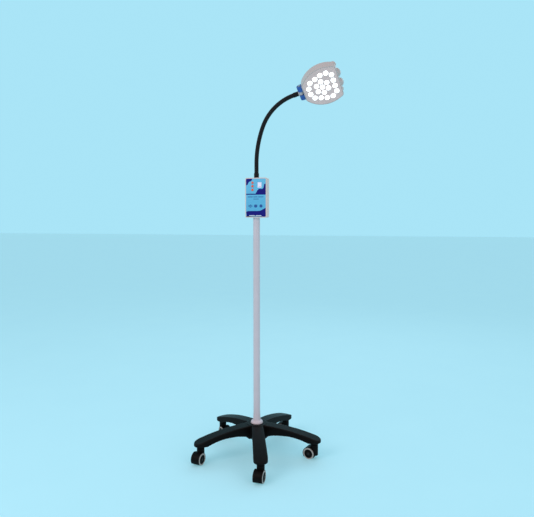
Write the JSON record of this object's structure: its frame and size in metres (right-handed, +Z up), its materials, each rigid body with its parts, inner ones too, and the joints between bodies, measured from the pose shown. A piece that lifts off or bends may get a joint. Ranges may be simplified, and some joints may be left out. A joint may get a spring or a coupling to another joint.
{
  "type": "surgical light",
  "caption": "Mobile LED surgical light: shield-shaped head on a gooseneck, control box on a column, and a star base on twin-wheel casters.",
  "frame": {"origin": "on the floor, on the column's axis", "axes": "+Z up the column, +X towards the head's reach, the control box's face looks along -Y"},
  "size_m": [0.615, 0.5761, 1.7018],
  "materials": {
    "black_nylon": "fine moulded texture, slight sheen",
    "tyre_grey": "matt light grey tread",
    "column_paint": "satin powder coat",
    "box_plastic": "satin moulded plastic",
    "label_print": "printed polyester film",
    "lamp_red": "clear red lens",
    "switch_white": "gloss",
    "battery_case": "shrink-wrapped pack",
    "circuit": "lacquered board",
    "steel": "zinc plated",
    "aluminium": "bare",
    "gooseneck_black": "black coated, semi-gloss",
    "knuckle_grey": "satin",
    "yoke_blue": "satin blue",
    "head_plastic": "fine moulded texture",
    "lens_white": "clear dome, lit from behind",
    "reflector": "polished",
    "led_yellow": "phosphor",
    "gasket_rubber": "soft"
  },
  "bodies": {
    "stand": {"star_base": "black_nylon", "hub_cover": "column_paint", "column_tube": "column_paint", "column_foot_bolt": "steel", "column_foot_washer": "steel", "column_top_plug": "steel", "caster_stems": "steel", "box_back_shell": "box_plastic", "box_front_panel": "box_plastic", "label_overlay": "label_print", "indicator_lamps": "lamp_red", "switch_frame": "switch_white", "battery_pack": "battery_case", "control_board": "circuit", "box_screws": "steel", "column_clamps": "steel", "cord_gland": "black_nylon", "gland_nut": "black_nylon", "gooseneck_collar": "gooseneck_black"},
    "switch": {"switch_rocker": "switch_white"},
    "caster_1": {"caster_housing_1": "black_nylon"},
    "wheels_1": {"caster_wheels_1": "black_nylon", "caster_tyres_1": "tyre_grey", "caster_axle_1": "steel"},
    "caster_2": {"caster_housing_2": "black_nylon"},
    "wheels_2": {"caster_wheels_2": "black_nylon", "caster_tyres_2": "tyre_grey", "caster_axle_2": "steel"},
    "caster_3": {"caster_housing_3": "black_nylon"},
    "wheels_3": {"caster_wheels_3": "black_nylon", "caster_tyres_3": "tyre_grey", "caster_axle_3": "steel"},
    "caster_4": {"caster_housing_4": "black_nylon"},
    "wheels_4": {"caster_wheels_4": "black_nylon", "caster_tyres_4": "tyre_grey", "caster_axle_4": "steel"},
    "caster_5": {"caster_housing_5": "black_nylon"},
    "wheels_5": {"caster_wheels_5": "black_nylon", "caster_tyres_5": "tyre_grey", "caster_axle_5": "steel"},
    "neck_link_1": {"gooseneck_link_1": "gooseneck_black"},
    "neck_link_2": {"gooseneck_link_2": "gooseneck_black"},
    "neck_link_3": {"gooseneck_link_3": "gooseneck_black"},
    "neck_link_4": {"gooseneck_link_4": "gooseneck_black"},
    "neck_link_5": {"gooseneck_link_5": "gooseneck_black"},
    "neck_link_6": {"gooseneck_link_6": "gooseneck_black"},
    "neck_link_7": {"gooseneck_link_7": "gooseneck_black"},
    "neck_end": {"gooseneck_end": "gooseneck_black", "hinge_knuckle": "knuckle_grey"},
    "head": {"head_yoke": "yoke_blue", "hinge_pin": "steel", "head_rear_shell": "head_plastic", "head_front_plate": "head_plastic", "lenses": "lens_white", "reflectors": "reflector", "led_board": "aluminium", "led_chips": "led_yellow", "heat_sink": "aluminium", "head_gasket": "gasket_rubber", "head_screws": "steel"}
  },
  "joints": [
    {"name": "caster_swivel_1", "type": "hinge", "parent": "stand", "child": "caster_1", "pos_m": [0.262, 0, 0.06], "axis": [0, 0, 1], "continuous": true},
    {"name": "wheel_roll_1", "type": "hinge", "parent": "caster_1", "child": "wheels_1", "pos_m": [0.24271, 0.00528, 0.025], "axis": [-0.2639, -0.9646, 0], "continuous": true},
    {"name": "caster_swivel_2", "type": "hinge", "parent": "stand", "child": "caster_2", "pos_m": [0.08096, 0.24918, 0.06], "axis": [0, 0, 1], "continuous": true},
    {"name": "wheel_roll_2", "type": "hinge", "parent": "caster_2", "child": "wheels_2", "pos_m": [0.06127, 0.25265, 0.025], "axis": [-0.1736, -0.9848, 0], "continuous": true},
    {"name": "caster_swivel_3", "type": "hinge", "parent": "stand", "child": "caster_3", "pos_m": [-0.21196, 0.154, 0.06], "axis": [0, 0, 1], "continuous": true},
    {"name": "wheel_roll_3", "type": "hinge", "parent": "caster_3", "child": "wheels_3", "pos_m": [-0.19741, 0.14028, 0.025], "axis": [0.6858, 0.7278, 0], "continuous": true},
    {"name": "caster_swivel_4", "type": "hinge", "parent": "stand", "child": "caster_4", "pos_m": [-0.21196, -0.154, 0.06], "axis": [0, 0, 1], "continuous": true},
    {"name": "wheel_roll_4", "type": "hinge", "parent": "caster_4", "child": "wheels_4", "pos_m": [-0.21622, -0.17354, 0.025], "axis": [0.977, -0.213, 0], "continuous": true},
    {"name": "caster_swivel_5", "type": "hinge", "parent": "stand", "child": "caster_5", "pos_m": [0.08096, -0.24918, 0.06], "axis": [0, 0, 1], "continuous": true},
    {"name": "wheel_roll_5", "type": "hinge", "parent": "caster_5", "child": "wheels_5", "pos_m": [0.07981, -0.26914, 0.025], "axis": [0.9983, -0.0576, 0], "continuous": true},
    {"name": "switch_rock", "type": "hinge", "parent": "stand", "child": "switch", "pos_m": [0.021, -0.024, 1.2015], "axis": [1, 0, 0], "range_deg": [0, 16]},
    {"name": "gooseneck_side_2", "type": "hinge", "parent": "stand", "child": "neck_link_1", "pos_m": [0, 0, 1.27946], "axis": [-1, 0, 0], "range_deg": [-18.5, 18.5]},
    {"name": "gooseneck_bend_2", "type": "hinge", "parent": "neck_link_1", "child": "neck_link_2", "pos_m": [0.0013, 0, 1.32834], "axis": [0, 1, 0], "range_deg": [-11.49, 13.84]},
    {"name": "gooseneck_side", "type": "hinge", "parent": "neck_link_2", "child": "neck_link_3", "pos_m": [0.00765, 0, 1.37681], "axis": [-0.983, 0, 0.1836], "range_deg": [-18, 18]},
    {"name": "gooseneck_bend_3", "type": "hinge", "parent": "neck_link_3", "child": "neck_link_4", "pos_m": [0.01922, 0, 1.42431], "axis": [0, 1, 0], "range_deg": [-16.35, 19.74]},
    {"name": "gooseneck_side_3", "type": "hinge", "parent": "neck_link_4", "child": "neck_link_5", "pos_m": [0.0363, 0, 1.47009], "axis": [-0.9, 0, 0.4358], "range_deg": [-18.5, 18.5]},
    {"name": "gooseneck_bend", "type": "hinge", "parent": "neck_link_5", "child": "neck_link_6", "pos_m": [0.06258, 0, 1.51121], "axis": [0, 1, 0], "range_deg": [-28, 34]},
    {"name": "gooseneck_side_4", "type": "hinge", "parent": "neck_link_6", "child": "neck_link_7", "pos_m": [0.09771, 0, 1.54508], "axis": [-0.6046, 0, 0.7965], "range_deg": [-18.5, 18.5]},
    {"name": "gooseneck_bend_4", "type": "hinge", "parent": "neck_link_7", "child": "neck_end", "pos_m": [0.13978, 0, 1.56982], "axis": [0, 1, 0], "range_deg": [-21.5, 26]},
    {"name": "head_tilt", "type": "hinge", "parent": "neck_end", "child": "head", "pos_m": [0.19712, 0, 1.58883], "axis": [0.2105, 0.6934, -0.6891], "range_deg": [-60, 60]}
  ],
  "couplings": [
    {"joint": "gooseneck_bend_2", "follows": "gooseneck_bend", "ratio": 0.3924},
    {"joint": "gooseneck_bend_3", "follows": "gooseneck_bend", "ratio": 0.566},
    {"joint": "gooseneck_bend_4", "follows": "gooseneck_bend", "ratio": 0.75},
    {"joint": "gooseneck_side_2", "follows": "gooseneck_side", "ratio": 1},
    {"joint": "gooseneck_side_3", "follows": "gooseneck_side", "ratio": 1},
    {"joint": "gooseneck_side_4", "follows": "gooseneck_side", "ratio": 1}
  ]
}
